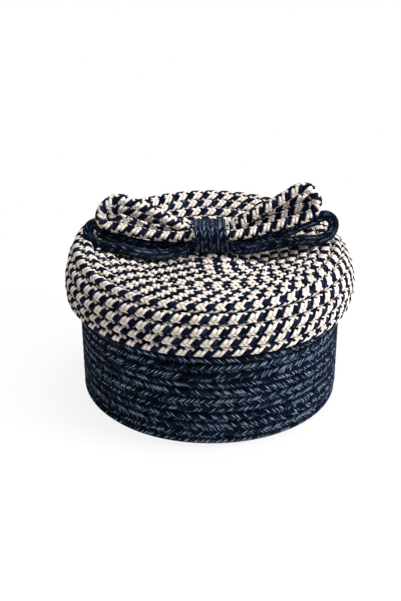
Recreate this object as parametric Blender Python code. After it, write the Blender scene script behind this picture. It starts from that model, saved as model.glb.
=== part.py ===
"""Lidded knitting basket of coiled and sewn rope, with a cinched rope bow on the lid.

The origin is the middle of the underside, +Z is up and the bow runs along X.
Everything is in metres. The basket stands on its flat underside; the lid lifts off along +Z.
"""
import math

import bpy
import bmesh
import numpy as np

MM = 0.001
CLEARANCE = 0.3 * MM

# Basket: one navy braid, wound as a flat spiral for the floor and then up the wall
BASKET_RADIUS = 123.0 * MM
WALL_HEIGHT = 129.0 * MM
BASKET_BRAID_WIDTH = 8.0 * MM
BASKET_BRAID_THICKNESS = 7.0 * MM
BASKET_HEEL_RADIUS = 8.5 * MM
BASKET_GROOVE = 1.0 * MM

# Lid: one two-tone rope, wound from the rim over the shoulder into a dished crown
LID_FIT = 1.0 * MM
LID_ROPE = 9.5 * MM
LID_GROOVE = 1.6 * MM
LID_TUCK = 2.4 * MM
LID_TUCK_HEIGHT = 16.0 * MM
LID_SHOULDER_HEIGHT = 29.0 * MM
LID_SHOULDER_WIDTH = 25.0 * MM
LID_DISH_DEPTH = 14.5 * MM
LID_DISH_FLOOR = 48.0 * MM
LID_MOUND = 5.5 * MM
CROWN_LEAN = 9.0 * MM
CROWN_LEAN_START = 7.0 * MM
CROWN_LEAN_WIDTH = 24.0 * MM

# Bow: three closed rope loops, laid on each other and cinched by a wound braid
BOW_ROPE = 9.0 * MM
STRAND_GAP = 0.6 * MM
LOWER_LOOP_REACH = 113.0 * MM
FRONT_LOOP_REACH = 101.0 * MM
BACK_LOOP_REACH = 96.0 * MM
WRAP_TURNS = 4
WRAP_BRAID_WIDTH = 6.8 * MM
WRAP_BRAID_THICKNESS = 3.4 * MM
WRAP_GAP = 0.55 * MM
WRAP_FIT = 0.9 * MM
WRAP_FLAT_SHARE = 0.56
KNOT_STRAIGHT = 3.0 * MM
BOW_CENTRE_X = 1.5 * MM

# Where the six strands lie in the knot: across and up, in strand spacings
LOWER_KNOT = ((-1.10, 0.00), (-0.09, 0.00))
FRONT_KNOT = ((-0.41, 0.97), (-1.42, 0.97))
BACK_KNOT = ((0.60, 0.97), (0.92, 0.00))

# The route of each loop on either side of the knot, chosen by hand, from its first strand
# round the turn to its second: share of the reach along X, then across and height over the
# crown, in strand spacings
LOWER_LEFT = (
    (-0.20, -1.58, 0.18), (-0.28, -1.88, 0.10), (-0.41, -2.15, 0.10), (-0.57, -2.48, 0.08),
    (-0.72, -2.58, 0.08), (-0.85, -2.00, 0.10), (-0.95, -1.42, 0.25), (-1.00, -0.95, 0.75),
    (-1.00, -0.50, 1.35), (-0.965, 0.00, 1.60), (-0.915, 0.20, 1.30), (-0.87, 0.05, 0.72),
    (-0.82, -0.20, 0.32), (-0.75, -0.48, 0.15), (-0.65, -0.68, 0.15), (-0.49, -0.70, 0.22),
    (-0.34, -0.55, 0.28), (-0.22, -0.22, 0.50),
)
LOWER_RIGHT = (
    (0.205, -1.48, 0.40), (0.28, -1.58, 0.52), (0.38, -1.58, 0.80), (0.51, -1.56, 0.90),
    (0.63, -1.56, 0.78), (0.75, -1.51, 0.60), (0.87, -1.35, 0.60), (0.95, -1.04, 0.85),
    (0.99, -0.57, 1.40), (0.99, -0.10, 2.00), (0.94, 0.10, 2.40), (0.88, 0.10, 2.26),
    (0.81, 0.05, 1.80), (0.74, 0.00, 1.45), (0.64, -0.10, 1.30), (0.53, -0.21, 1.33),
    (0.42, -0.31, 1.28), (0.29, -0.28, 0.90),
)
FRONT_LEFT = (
    (-0.225, -0.44, 1.80), (-0.30, -0.47, 2.42), (-0.40, -0.52, 3.22), (-0.51, -0.57, 3.97),
    (-0.63, -0.62, 4.36), (-0.74, -0.68, 4.46), (-0.84, -0.73, 4.42), (-0.92, -0.78, 4.07),
    (-0.98, -0.83, 3.42), (-1.00, -0.94, 2.67), (-0.97, -0.99, 1.98), (-0.90, -1.04, 1.76),
    (-0.80, -1.06, 1.86), (-0.67, -1.09, 2.10), (-0.54, -1.09, 2.22), (-0.42, -1.16, 2.04),
    (-0.30, -1.30, 1.72), (-0.225, -1.39, 1.64),
)
FRONT_RIGHT = (
    (0.225, -0.44, 2.07), (0.30, -0.47, 2.95), (0.40, -0.52, 3.93), (0.53, -0.57, 4.65),
    (0.65, -0.62, 5.10), (0.74, -0.68, 5.43), (0.82, -0.73, 5.56), (0.89, -0.78, 5.28),
    (0.94, -0.83, 4.48), (0.935, -0.94, 3.56), (0.89, -0.99, 2.98), (0.83, -1.04, 2.70),
    (0.74, -1.04, 2.60), (0.64, -1.09, 2.66), (0.53, -1.09, 2.60), (0.42, -1.16, 2.38),
    (0.32, -1.28, 2.04), (0.24, -1.38, 1.80),
)
BACK_LEFT = (
    (-0.225, 0.61, 1.85), (-0.30, 0.62, 2.25), (-0.41, 0.58, 2.68), (-0.54, 0.54, 2.95),
    (-0.67, 0.52, 3.05), (-0.79, 0.50, 3.05), (-0.88, 0.48, 2.98), (-0.945, 0.38, 2.72),
    (-0.96, 0.20, 2.30), (-0.93, 0.03, 1.98), (-0.85, -0.02, 1.88), (-0.75, -0.02, 1.86),
    (-0.62, 0.00, 1.86), (-0.50, 0.08, 1.78), (-0.40, 0.25, 1.52), (-0.31, 0.55, 1.12),
    (-0.222, 0.88, 0.68),
)
BACK_RIGHT = (
    (0.225, 0.61, 2.08), (0.305, 0.62, 2.70), (0.43, 0.58, 3.36), (0.58, 0.54, 3.78),
    (0.71, 0.52, 3.98), (0.81, 0.50, 4.06), (0.885, 0.48, 4.00), (0.94, 0.38, 3.80),
    (0.955, 0.18, 3.44), (0.90, 0.02, 3.12), (0.81, 0.00, 3.08), (0.68, 0.00, 2.98),
    (0.55, 0.06, 2.70), (0.435, 0.22, 2.22), (0.335, 0.54, 1.62), (0.232, 0.88, 0.78),
)

# How finely the curved pieces are divided
COLUMNS = 36
RIB_STEPS = 3
CORNER_STEPS = 5
WRAP_STEPS = 24
ROPE_POINTS = 72
ROPE_SIDE_STEPS = 2
CURVE_STEPS = 12
PROFILE_POINTS = 400

# Directions round the edges of the rim and of the lid, and the crease that shades sharp, degrees
RIM_INNER_TURN = (120, 180)
LID_EDGE_TURN = (-45, -135)
SHARP_ANGLE = 50

NAVY = (0.012, 0.022, 0.055)
CREAM = (0.60, 0.50, 0.39)


def clear_scene():
    """Remove every object, so that the script can be run again from a text editor."""
    for item in list(bpy.data.objects):
        bpy.data.objects.remove(item, do_unlink=True)


def make_material(name, colour, roughness):
    """A plain dyed-yarn material."""
    material = bpy.data.materials.new(name)
    material.use_nodes = True
    shader = material.node_tree.nodes["Principled BSDF"]
    shader.inputs["Base Color"].default_value = (*colour, 1.0)
    shader.inputs["Roughness"].default_value = roughness
    shader.inputs["Metallic"].default_value = 0.0
    return material


def add_object(name, vertices, faces, material):
    """One closed mesh object, with its faces turned outwards."""
    mesh = bpy.data.meshes.new(name)
    mesh.from_pydata([tuple(map(float, point)) for point in vertices], [], faces)
    work = bmesh.new()
    work.from_mesh(mesh)
    bmesh.ops.recalc_face_normals(work, faces=work.faces[:])
    work.to_mesh(mesh)
    work.free()
    mesh.shade_smooth()
    mesh.set_sharp_from_angle(angle=math.radians(SHARP_ANGLE))
    mesh.materials.append(material)
    item = bpy.data.objects.new(name, mesh)
    bpy.context.collection.objects.link(item)
    return item


def smooth_step(value):
    """Ease from 0 to 1 with level ends."""
    share = np.clip(value, 0.0, 1.0)
    return share * share * (3.0 - 2.0 * share)


def arc(centre, radii, start, end, steps):
    """Points of an elliptical arc in the (radius, height) plane; angles in degrees."""
    angle = np.radians(np.linspace(start, end, steps + 1))
    return [(centre[0] + radii[0] * math.cos(a), centre[1] + radii[1] * math.sin(a)) for a in angle]


class Profile:
    """A line in the (radius, height) plane that is read by the distance along it.

    Distances may be those along another line, to which this one runs parallel.
    """

    def __init__(self, points, distance=None):
        self.points = np.array(points)
        steps = np.linalg.norm(np.diff(self.points, axis=0), axis=1)
        along = np.concatenate([[0.0], np.cumsum(steps)])
        self.distance = along if distance is None else distance
        self.length = float(self.distance[-1])

    def at(self, where):
        """Radius and height at a distance along the line."""
        radius = np.interp(where, self.distance, self.points[:, 0])
        height = np.interp(where, self.distance, self.points[:, 1])
        return radius, height

    def normal(self, where):
        """Unit normal, to the right of the line's direction."""
        reach = self.length / PROFILE_POINTS
        r_0, z_0 = self.at(where - reach)
        r_1, z_1 = self.at(where + reach)
        size = math.hypot(r_1 - r_0, z_1 - z_0)
        return (z_1 - z_0) / size, -(r_1 - r_0) / size


def column_point(radius, height, column):
    """A point of a turned shape at one of its columns, clockwise from the back."""
    angle = 2.0 * math.pi * column / COLUMNS
    return radius * math.sin(angle), radius * math.cos(angle), height


class Skin:
    """Vertices and faces of one closed shell that is wound from a single rope."""

    def __init__(self):
        self.vertices = []
        self.faces = []

    def add(self, point):
        self.vertices.append(point)
        return len(self.vertices) - 1

    def ring(self, radius, height, reshape=None):
        """A plain ring of vertices."""
        made = []
        for column in range(COLUMNS):
            point = column_point(radius, height, column)
            made.append(self.add(reshape(point) if reshape else point))
        return made

    def bridge(self, ring_a, ring_b):
        """Four-sided faces between two rings."""
        for column in range(COLUMNS):
            after = (column + 1) % COLUMNS
            self.faces.append((ring_a[column], ring_a[after], ring_b[after], ring_b[column]))

    def fan(self, ring, point):
        """Close a ring with triangles to one middle point."""
        middle = self.add(point)
        for column in range(COLUMNS):
            self.faces.append((ring[column], ring[(column + 1) % COLUMNS], middle))

    def wind(self, profile, pitch_wanted, groove, reshape=None):
        """The outer skin of a rope wound along a profile, one pitch further with each turn.

        Every turn is a rib with a groove where it is sewn to the next one. The rows of
        vertices climb one pitch a turn, so a row that leaves the last column goes on RIB_STEPS
        rows higher at the first column: the ribs are one unbroken spiral. A wedge at each end
        brings the spiral back to a level ring. Returns the first and the last ring.
        """
        turns = max(3, round(profile.length / pitch_wanted))
        pitch = profile.length / turns
        last_row = RIB_STEPS * (turns - 1)
        grid = {}

        def place(row, column):
            where = pitch * (row / RIB_STEPS + column / COLUMNS)
            radius, height = profile.at(where)
            depth = groove if row % RIB_STEPS == 0 else 0.0
            across, up = profile.normal(where)
            point = column_point(radius - depth * across, height - depth * up, column)
            return self.add(reshape(point) if reshape else point)

        first = self.ring(*profile.at(0.0), reshape)
        last = self.ring(*profile.at(profile.length), reshape)
        for row in range(last_row + 1):
            for column in range(COLUMNS):
                if (row, column) != (0, 0):
                    grid[row, column] = place(row, column)
        grid[0, 0] = first[0]
        for row in range(last_row + 1, RIB_STEPS * turns):
            grid[row, 0] = place(row, 0)
        grid[RIB_STEPS * turns, 0] = last[0]

        def vertex(row, column):
            if column == COLUMNS:
                return grid[row + RIB_STEPS, 0]
            return grid[row, column]

        for row in range(last_row):
            for column in range(COLUMNS):
                self.faces.append((vertex(row, column), vertex(row, column + 1),
                                   vertex(row + 1, column + 1), vertex(row + 1, column)))
        for column in range(COLUMNS - 1):
            face = [first[column], first[column + 1], grid[0, column + 1]]
            if column:
                face.append(grid[0, column])
            self.faces.append(tuple(face))
        start_face = [first[COLUMNS - 1], first[0]]
        start_face += [grid[row, 0] for row in range(1, RIB_STEPS + 1)]
        start_face.append(grid[0, COLUMNS - 1])
        self.faces.append(tuple(start_face))
        end_face = [grid[last_row, 0], grid[last_row, 1], last[1], last[0]]
        end_face += [grid[row, 0] for row in range(RIB_STEPS * turns - 1, last_row, -1)]
        self.faces.append(tuple(end_face))
        for column in range(1, COLUMNS - 1):
            self.faces.append((grid[last_row, column], grid[last_row, column + 1],
                               last[column + 1], last[column]))
        self.faces.append((grid[last_row, COLUMNS - 1], last[0], last[COLUMNS - 1]))
        return first, last


def basket_outer_profile():
    """From the edge of the flat underside, round the heel and up to the top of the rim."""
    heel = BASKET_HEEL_RADIUS
    round_rim = BASKET_BRAID_THICKNESS / 2.0
    points = arc((BASKET_RADIUS - heel, heel), (heel, heel), -90, 0, 2 * CORNER_STEPS)
    rim_centre = (BASKET_RADIUS - round_rim, WALL_HEIGHT - round_rim)
    points += arc(rim_centre, (round_rim, round_rim), 0, 90, CORNER_STEPS)
    return Profile(points)


def basket_inner_profile():
    """From the top of the rim down the inside of the wall and on to the floor."""
    wall = BASKET_BRAID_THICKNESS
    round_rim = wall / 2.0
    rim_centre = (BASKET_RADIUS - round_rim, WALL_HEIGHT - round_rim)
    points = arc(rim_centre, (round_rim, round_rim), *RIM_INNER_TURN, 2)
    bend = max(BASKET_HEEL_RADIUS - wall, wall / 2.0)
    points += arc((BASKET_RADIUS - wall - bend, wall + bend), (bend, bend), 0, -90, CORNER_STEPS)
    return points


def make_basket(material):
    """The basket: ribbed outside, plain inside, open at the top, flat underneath."""
    skin = Skin()
    underside, rim = skin.wind(basket_outer_profile(), BASKET_BRAID_WIDTH, BASKET_GROOVE)
    skin.fan(underside, (0.0, 0.0, 0.0))
    ring = rim
    for radius, height in basket_inner_profile():
        following = skin.ring(radius, height)
        skin.bridge(ring, following)
        ring = following
    skin.fan(ring, (0.0, 0.0, BASKET_BRAID_THICKNESS))
    return add_object("basket_body", skin.vertices, skin.faces, material)


def crest_radius():
    """Radius of the highest turn of the lid."""
    return BASKET_RADIUS + LID_FIT + LID_ROPE / 2.0 + LID_TUCK - LID_SHOULDER_WIDTH


def dish_floor_radius():
    """Radius at which the dish is deepest."""
    return min(LID_DISH_FLOOR, crest_radius() / 2.0)


def lid_centre_line():
    """The line that the middle of the lid's rope follows, from the rim to the crown's middle.

    It swells from the rim to the widest turn, rounds the shoulder as a quarter of an ellipse,
    eases down into the dish and swells again to a low mound under the knot. Heights are over
    the rim's underside.
    """
    half = LID_ROPE / 2.0
    rim_radius = BASKET_RADIUS + LID_FIT + half
    crest = half + LID_TUCK_HEIGHT + LID_SHOULDER_HEIGHT
    tuck_centre = (rim_radius, half + LID_TUCK_HEIGHT)
    points = arc(tuck_centre, (LID_TUCK, LID_TUCK_HEIGHT), -90, 0, CORNER_STEPS)
    shoulder_centre = (crest_radius(), half + LID_TUCK_HEIGHT)
    shoulder = (LID_SHOULDER_WIDTH, LID_SHOULDER_HEIGHT)
    points += arc(shoulder_centre, shoulder, 0, 90, 3 * CORNER_STEPS)[1:]
    slope = crest_radius() - dish_floor_radius()
    for share in np.linspace(0.0, 1.0, 3 * CORNER_STEPS)[1:]:
        drop = LID_DISH_DEPTH * float(smooth_step(share))
        points.append((crest_radius() - slope * share, crest - drop))
    mound_width = dish_floor_radius() - half
    for share in np.linspace(0.0, 1.0, 2 * CORNER_STEPS)[1:]:
        rise = LID_MOUND * float(smooth_step(share))
        points.append((dish_floor_radius() - mound_width * share, crest - LID_DISH_DEPTH + rise))
    return Profile(points)


def offset_line(profile, amount):
    """A copy of a line, moved sideways along its normals and read by the line's own distances."""
    where = np.linspace(0.0, profile.length, PROFILE_POINTS)
    moved = []
    for distance in where:
        radius, height = profile.at(distance)
        across, up = profile.normal(distance)
        moved.append((radius + amount * across, height + amount * up))
    return Profile(moved, where)


def lid_lean(radius, sine):
    """How far the crest is raised at the back and lowered at the front.

    It fades out over the shoulder, to leave the seat level, and down into the dish.
    """
    start = BASKET_RADIUS + CROWN_LEAN_START
    shoulder_share = smooth_step((start - radius) / CROWN_LEAN_WIDTH)
    floor = dish_floor_radius()
    dish_share = smooth_step((radius - floor) / (crest_radius() - floor))
    return CROWN_LEAN * shoulder_share * dish_share * sine


def rising_part(line):
    """The points of a lid line above its widest turn, in order of radius."""
    above = line[:, 1] > LID_ROPE / 2.0 + LID_TUCK_HEIGHT
    line = line[above]
    return line[np.argsort(line[:, 0])]


def lid_seat_height(inner):
    """Height of the lid's rim at which its inside rests on the basket's rim, at the front."""
    line = rising_part(inner.points)
    round_rim = BASKET_BRAID_THICKNESS / 2.0
    centre = BASKET_RADIUS - round_rim
    radius = np.linspace(centre - round_rim, min(centre + round_rim, line[-1, 0]), PROFILE_POINTS)
    across = np.clip(radius - centre, -round_rim, round_rim)
    rim = WALL_HEIGHT - round_rim + np.sqrt(round_rim ** 2 - across ** 2)
    underside = np.interp(radius, line[:, 0], line[:, 1]) + lid_lean(radius, -1.0)
    return float(np.max(rim + CLEARANCE - underside))


class Lid:
    """The lid's lines and the height at which it sits."""

    def __init__(self):
        self.centre_line = lid_centre_line()
        self.outer = offset_line(self.centre_line, LID_ROPE / 2.0)
        self.inner = offset_line(self.centre_line, -LID_ROPE / 2.0)
        self.seat = lid_seat_height(self.inner)
        top = rising_part(self.outer.points)
        self.crest_radius = float(top[np.argmax(top[:, 1]), 0])
        self.top_line = top[top[:, 0] <= self.crest_radius]

    def shape(self, point):
        """Lift a point of the lid to its seat and lean the crown."""
        x, y, z = point
        radius = math.hypot(x, y)
        sine = y / radius if radius else 0.0
        return x, y, z + self.seat + float(lid_lean(radius, sine))

    def top(self, x, y):
        """Height of the crown over a place; past the crest it stays as high as the crest."""
        radius = math.hypot(x, y)
        sine = y / radius if radius else 0.0
        inside = min(radius, self.crest_radius)
        height = float(np.interp(inside, self.top_line[:, 0], self.top_line[:, 1]))
        return height + self.seat + float(lid_lean(inside, sine))


def make_lid(lid, material):
    """The lid: a ribbed cap with a tucked rim, a round shoulder and a dished crown."""
    skin = Skin()
    rim, crown = skin.wind(lid.outer, LID_ROPE, LID_GROOVE, lid.shape)
    skin.fan(crown, lid.shape((0.0, 0.0, lid.outer.points[-1, 1])))
    half = LID_ROPE / 2.0
    ring = rim
    centre_radius, centre_height = lid.centre_line.at(0.0)
    for radius, height in arc((centre_radius, centre_height), (half, half), *LID_EDGE_TURN, 2)[1:]:
        following = skin.ring(radius, height, lid.shape)
        skin.bridge(ring, following)
        ring = following
    rings = 3 * CORNER_STEPS
    for share in np.linspace(0.0, 1.0, rings + 1):
        radius, height = lid.inner.at(lid.inner.length * share)
        following = skin.ring(radius, height, lid.shape)
        skin.bridge(ring, following)
        ring = following
    skin.fan(ring, lid.shape((0.0, 0.0, lid.inner.points[-1, 1])))
    return add_object("lid_shell", skin.vertices, skin.faces, material)


def strand_spacing():
    """Distance between the middles of two strands that lie side by side."""
    return BOW_ROPE + STRAND_GAP


def wrap_pitch():
    """How far the wound braid moves along the bow with each turn."""
    return WRAP_BRAID_WIDTH + WRAP_GAP


def knot_point(lid, side, place):
    """A point of a strand at an end of its straight run through the knot."""
    reach = WRAP_TURNS * wrap_pitch() / 2.0 + KNOT_STRAIGHT
    under_strand = CLEARANCE + WRAP_BRAID_THICKNESS + WRAP_FIT + BOW_ROPE / 2.0
    rest = lid.top(0.0, 0.0) + under_strand
    across, height = place
    spacing = strand_spacing()
    return BOW_CENTRE_X + side * reach, across * spacing, rest + height * spacing


def loop_point(lid, reach, place):
    """A point of a loop, measured up from the crown under it."""
    share, across, height = place
    spacing = strand_spacing()
    x = BOW_CENTRE_X + share * reach
    y = across * spacing
    return x, y, lid.top(x, y) + CLEARANCE + BOW_ROPE / 2.0 + height * spacing


def bow_route(lid, reach, knot, left, right):
    """A closed route: through the knot, round the left loop, back and round the right loop."""
    first, second = knot
    points = [knot_point(lid, side, first) for side in (1.0, 0.0, -1.0)]
    points += [loop_point(lid, reach, place) for place in left]
    points += [knot_point(lid, side, second) for side in (-1.0, 0.0, 1.0)]
    points += [loop_point(lid, reach, place) for place in reversed(right)]
    return np.array(points)


def smooth_loop(points):
    """A closed smooth curve through the points, read at even steps along it."""
    before = np.roll(points, 1, axis=0)
    after = np.roll(points, -1, axis=0)
    beyond = np.roll(points, -2, axis=0)
    fine = []
    for share in np.arange(CURVE_STEPS) / CURVE_STEPS:
        square = share * share
        cube = square * share
        fine.append(0.5 * ((2.0 * points) + (after - before) * share
                           + (2.0 * before - 5.0 * points + 4.0 * after - beyond) * square
                           + (3.0 * points - before - 3.0 * after + beyond) * cube))
    curve = np.stack(fine, axis=1).reshape(-1, 3)
    closed = np.vstack([curve, curve[:1]])
    length = np.concatenate([[0.0], np.cumsum(np.linalg.norm(np.diff(closed, axis=0), axis=1))])
    where = np.arange(ROPE_POINTS) * length[-1] / ROPE_POINTS
    return np.stack([np.interp(where, length, closed[:, axis]) for axis in range(3)], axis=1)


def make_bow_rope(name, points, material):
    """One loop of rope as a round tube that joins up with itself."""
    curve = bpy.data.curves.new(name, "CURVE")
    curve.dimensions = "3D"
    curve.bevel_depth = BOW_ROPE / 2.0
    curve.bevel_resolution = ROPE_SIDE_STEPS
    spline = curve.splines.new("POLY")
    spline.points.add(len(points) - 1)
    for target, point in zip(spline.points, points):
        target.co = (*map(float, point), 1.0)
    spline.use_cyclic_u = True
    spline.use_smooth = True
    curve.materials.append(material)
    item = bpy.data.objects.new(name, curve)
    bpy.context.collection.objects.link(item)
    return item


def wrap_route(lid):
    """Middle line and outward direction of the wound braid round the six strands.

    At each angle the braid lies against the strand that reaches furthest that way, so it runs
    round the strands as a taut band does, and moves one pitch along X with each turn.
    """
    places = [*LOWER_KNOT, *FRONT_KNOT, *BACK_KNOT]
    strands = np.array([knot_point(lid, 0.0, place)[1:] for place in places])
    away = BOW_ROPE / 2.0 + WRAP_FIT + WRAP_BRAID_THICKNESS / 2.0
    half_width = WRAP_TURNS * wrap_pitch() / 2.0 - wrap_pitch() / 2.0
    middle = []
    outward = []
    for step in range(WRAP_STEPS * (WRAP_TURNS - 1) + WRAP_STEPS // 2 + 1):
        turn = step / WRAP_STEPS
        angle = 2.0 * math.pi * turn - math.pi / 2.0
        direction = np.array([math.cos(angle), math.sin(angle)])
        furthest = strands[np.argmax(strands @ direction)]
        across, up = furthest + away * direction
        middle.append((BOW_CENTRE_X - half_width + turn * wrap_pitch(), across, up))
        outward.append((0.0, *direction))
    return np.array(middle), np.array(outward)


def make_wrap(lid, material):
    """The flat braid that is wound round the middle of the bow, as one unbroken band."""
    middle, outward = wrap_route(lid)
    flat = WRAP_FLAT_SHARE / 2.0
    section = [(-0.5, 0.0), (-flat, 0.5), (flat, 0.5), (0.5, 0.0), (flat, -0.5), (-flat, -0.5)]
    along = np.array([1.0, 0.0, 0.0])
    vertices = []
    for point, direction in zip(middle, outward):
        for across, up in section:
            vertices.append(point + across * WRAP_BRAID_WIDTH * along
                            + up * WRAP_BRAID_THICKNESS * direction)
    sides = len(section)
    faces = []
    for row in range(len(middle) - 1):
        for side in range(sides):
            after = (side + 1) % sides
            faces.append((row * sides + side, row * sides + after,
                          (row + 1) * sides + after, (row + 1) * sides + side))
    faces.append(tuple(range(sides)))
    faces.append(tuple(range(len(vertices) - sides, len(vertices))))
    print("wrap, least gap between turns, mm:", round(winding_gap(middle) / MM, 2))
    return add_object("bow_knot_wrap", vertices, faces, material)


def winding_gap(middle):
    """Least distance between points of the band that are a turn apart, less its width."""
    reach = WRAP_STEPS // 2
    least = math.inf
    for step in range(len(middle) - reach):
        distance = np.linalg.norm(middle[step + reach:] - middle[step], axis=1)
        least = min(least, float(distance.min()))
    return least - WRAP_BRAID_WIDTH


def loop_gap(points):
    """Least distance between stretches of one rope that aren't neighbours, less its diameter."""
    count = len(points)
    apart = np.linalg.norm(points[:, None] - points[None, :], axis=2)
    steps = np.abs(np.arange(count)[:, None] - np.arange(count)[None, :])
    steps = np.minimum(steps, count - steps)
    pitch = apart[steps == 1].mean()
    far = steps * pitch > 2.5 * BOW_ROPE
    return float(apart[far].min()) - BOW_ROPE


def make_bow(lid, navy, two_tone):
    """The three loops of rope and the braid that cinches them."""
    ropes = (
        ("bow_lower_rope", LOWER_LOOP_REACH, LOWER_KNOT, LOWER_LEFT, LOWER_RIGHT, navy),
        ("bow_front_rope", FRONT_LOOP_REACH, FRONT_KNOT, FRONT_LEFT, FRONT_RIGHT, two_tone),
        ("bow_back_rope", BACK_LOOP_REACH, BACK_KNOT, BACK_LEFT, BACK_RIGHT, two_tone),
    )
    lines = {}
    for name, reach, knot, left, right, material in ropes:
        lines[name] = smooth_loop(bow_route(lid, reach, knot, left, right))
        make_bow_rope(name, lines[name], material)
        print(name, "least gap to itself, mm:", round(loop_gap(lines[name]) / MM, 2))
    names = list(lines)
    for index, name in enumerate(names):
        for other in names[index + 1:]:
            apart = np.linalg.norm(lines[name][:, None] - lines[other][None, :], axis=2)
            print(name, other, "least gap, mm:", round((float(apart.min()) - BOW_ROPE) / MM, 2))
    make_wrap(lid, navy)


def main():
    clear_scene()
    navy = make_material("navy_braid", NAVY, 0.85)
    two_tone = make_material("two_tone_rope", CREAM, 0.85)
    lid = Lid()
    make_basket(navy)
    make_lid(lid, two_tone)
    make_bow(lid, navy, two_tone)
    print("lid rim height, mm:", round(lid.seat / MM, 2))


main()
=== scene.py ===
"""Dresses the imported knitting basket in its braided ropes.

The basket is one navy plaited cord wound in a spiral, the lid is one two-tone rope, and the bow
on it is three loops of rope held by a wound cord. All sizes are in metres.
"""
import math
from functools import partial

import bpy
import numpy as np
from bpy.props import FloatProperty, FloatVectorProperty, IntProperty, PointerProperty
from bpy.types import Operator, Panel, PropertyGroup
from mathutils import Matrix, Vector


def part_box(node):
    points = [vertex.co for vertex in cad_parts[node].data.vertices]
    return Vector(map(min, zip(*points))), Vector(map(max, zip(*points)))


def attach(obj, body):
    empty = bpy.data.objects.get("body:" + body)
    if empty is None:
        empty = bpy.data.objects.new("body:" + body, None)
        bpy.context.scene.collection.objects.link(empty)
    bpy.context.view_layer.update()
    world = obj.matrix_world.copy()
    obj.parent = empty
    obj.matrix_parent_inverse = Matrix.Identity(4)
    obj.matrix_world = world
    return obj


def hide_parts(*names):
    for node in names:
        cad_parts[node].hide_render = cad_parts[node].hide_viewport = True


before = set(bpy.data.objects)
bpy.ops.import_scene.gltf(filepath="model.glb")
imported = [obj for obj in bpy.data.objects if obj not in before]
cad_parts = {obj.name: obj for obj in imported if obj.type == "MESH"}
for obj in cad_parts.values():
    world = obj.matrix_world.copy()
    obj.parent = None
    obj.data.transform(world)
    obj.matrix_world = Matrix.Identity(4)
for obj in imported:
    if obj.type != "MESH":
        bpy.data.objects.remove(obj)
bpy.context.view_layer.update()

bl_info = {
    "name": "Coiled Rope Basket",
    "version": (1, 0, 0),
    "blender": (4, 5, 0),
    "location": "View3D > Sidebar > Basket",
    "description": "Winds braided rope into a lidded basket with a bow",
    "category": "Object",
}

MM = 0.001
TURN = 2.0 * math.pi

# How far a rope's stitches bunch and stretch, and over what lengths
SWAY = 0.6 * MM
SWAY_LENGTHS = (23.0 * MM, 37.0 * MM)

# Strands that a stitch passes over, and those in one repeat of the two-tone colours
ROPE_SPAN = 2
CORD_SPAN = 4
REPEAT_STRANDS = 4

# Share of a braid's relief that lies under the rope's own radius
RELIEF_SUNK = 0.6

# How far the yarns of a strand slant over one stitch, in widths of the strand
YARN_SLANT = 0.12

# Share of its thickness that a rope keeps at its ends, and the lengths over which it thins
THIN_END = 0.12
BASKET_TAPER = (12.0 * MM, 90.0 * MM)
LID_TAPER = (60.0 * MM, 8.0 * MM)

# Least width of a row, in pitches, and how far one reaches past half way to the next
LEAST_ROW = 0.92
CORD_OVERLAP = 0.15 * MM
ROPE_OVERLAP = -0.1 * MM

# Turns at which the lid's rope is cut into pieces, and the floor's, as a share of its turns
LID_BREAKS = (4.0, 8.4)
FLOOR_BREAK = 0.7

# Rows of the lid climb clockwise seen from above; its first turn starts this far under the rim
RIM_START = 0.33

# Where the sewn shoulder swells most, in radians from the right
SWELL_BEARING = math.radians(172.0)

# Where the swell starts inside the crest, how it eases and fades, in shoulder widths, and
# the share of it that the front lacks
SWELL_INSIDE = 0.4
SWELL_EASE = 0.95
SWELL_FADE = 0.3
SWELL_LESS_FRONT = 0.6

# Turns by which the lid's rope is rolled about its own line, on the skirt and on the crown,
# and the turn from which it goes from one to the other, and over how many
SKIRT_ROLL = 43.0 / 360.0
CROWN_ROLL = 24.0 / 360.0
ROLL_START = 4.5
ROLL_TURNS = 2.5

# The roll of the bow's navy loops and of its two-tone ones
NAVY_LOOP_ROLL = -0.028
TWO_TONE_LOOP_ROLL = 0.156

# The bow's ropes reach their full radius over this length past the knot
FULL_RADIUS_OVER = 12.0 * MM

# The ends of the cord round the knot: thickness kept, and length over which it thins
WRAP_THIN_END = 0.3
WRAP_TAPER = 6.0 * MM

# Height that the camera and the lamps are aimed at
AIM_HEIGHT = 0.09

# Name, place, edge length and watts of each soft box
LAMPS = (
    ("side_light", (1.25, -0.35, 0.7), 0.7, 27.0),
    ("top_light", (0.1, 0.05, 1.5), 0.9, 19.5),
    ("front_light", (-0.6, -1.3, 0.85), 1.0, 4.2),
)

# The photograph's camera: its angle of height and its distance, and in pixels its focal
# length, its shift and the picture's longer side
CAMERA_RISE = math.radians(24.86)
CAMERA_AWAY = 0.9
FOCAL_PX = 938.9
SHIFT_PX = (-9.3, -3.44)
LONG_SIDE_PX = 601.0

# Where the six strands lie in the knot: across and up, in strand spacings
LOWER_KNOT = ((-1.10, 0.00), (-0.09, 0.00))
FRONT_KNOT = ((-0.41, 0.97), (-1.42, 0.97))
BACK_KNOT = ((0.60, 0.97), (0.92, 0.00))

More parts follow.
